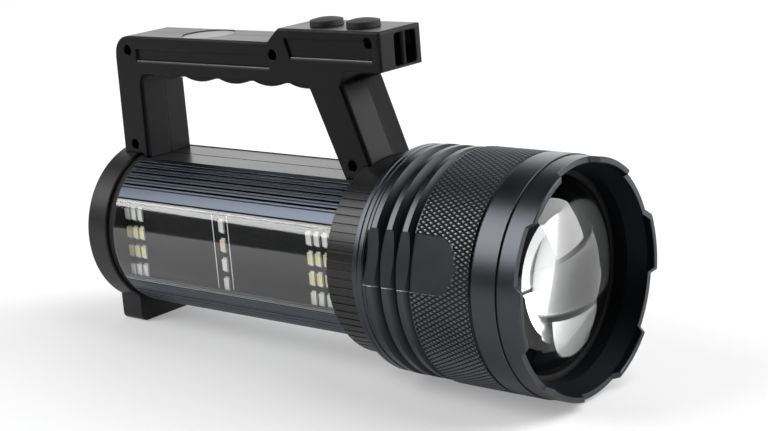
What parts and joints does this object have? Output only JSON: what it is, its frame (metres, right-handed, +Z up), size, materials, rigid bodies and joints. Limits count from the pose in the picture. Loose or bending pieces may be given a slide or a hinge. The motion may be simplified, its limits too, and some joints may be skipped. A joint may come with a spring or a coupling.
{
  "type": "flashlight",
  "caption": "Handheld searchlight with a sliding zoom head, side lamp panels, a finned body and a carrying handle with push buttons.",
  "frame": {"origin": "centre of the bounding box, on the floor that the foot and the first fin rest on", "axes": "+X towards the beam, +Y to the left, +Z up; the beam axis rises by the rest tilt"},
  "size_m": [0.2246, 0.0858, 0.1298],
  "materials": {
    "dark_anodised": "satin anodised",
    "black_ring": "matt",
    "lens_glass": "polished",
    "black_rubber": "matt",
    "bare_aluminium": "machined",
    "white_board": "solder mask",
    "emitter": "phosphor under a clear dome",
    "black_plastic": "fine moulded grain",
    "blue_anodised": "satin anodised",
    "clear_plastic": "polished",
    "dark_board": "black solder mask",
    "cool_chip": "white chip",
    "warm_chip": "yellow chip",
    "black_gloss": "satin",
    "steel": "plated",
    "cell_wrap": "wrapped",
    "nickel": "plated strip",
    "green_board": "solder mask",
    "grey_rubber": "matt",
    "switch_metal": "plated"
  },
  "bodies": {
    "torch": {"focus_barrel": "dark_anodised", "barrel_seals": "black_rubber", "led_heatsink": "bare_aluminium", "led_board": "white_board", "led_emitter": "emitter", "front_collar": "black_plastic", "body_extrusion": "blue_anodised", "side_window_right": "clear_plastic", "side_window_left": "clear_plastic", "side_board_right": "dark_board", "side_board_left": "dark_board", "side_leds_cool": "cool_chip", "side_leds_warm": "warm_chip", "top_rail": "black_gloss", "rear_gasket": "black_rubber", "rear_cap": "black_plastic", "cap_screws": "steel", "battery_cells": "cell_wrap", "battery_cradle": "black_plastic", "bus_plates": "nickel", "driver_board": "green_board", "handle_right": "black_plastic", "handle_left": "black_plastic", "handle_screws": "steel", "strap_bar": "black_plastic", "indicator_window": "black_gloss", "switch_board": "green_board", "key_switches": "switch_metal"},
    "zoom_head": {"bezel_ring": "dark_anodised", "lens_retainer": "black_ring", "lens": "lens_glass", "lens_seal": "black_rubber", "head_sleeve": "dark_anodised", "stop_ring": "dark_anodised"},
    "front_key": {"button_front": "grey_rubber"},
    "rear_key": {"button_rear": "grey_rubber"}
  },
  "joints": [
    {"name": "zoom_slide", "type": "slide", "parent": "torch", "child": "zoom_head", "axis": [0.9997, 0, 0.0265], "range_m": [0, 0.01]},
    {"name": "front_press", "type": "slide", "parent": "torch", "child": "front_key", "axis": [0.0265, 0, -0.9997], "range_m": [0, 0.0012], "stiffness_N_per_m": 1200, "springref_m": -0.0004},
    {"name": "rear_press", "type": "slide", "parent": "torch", "child": "rear_key", "axis": [0.0265, 0, -0.9997], "range_m": [0, 0.0012], "stiffness_N_per_m": 1200, "springref_m": -0.0004}
  ]
}
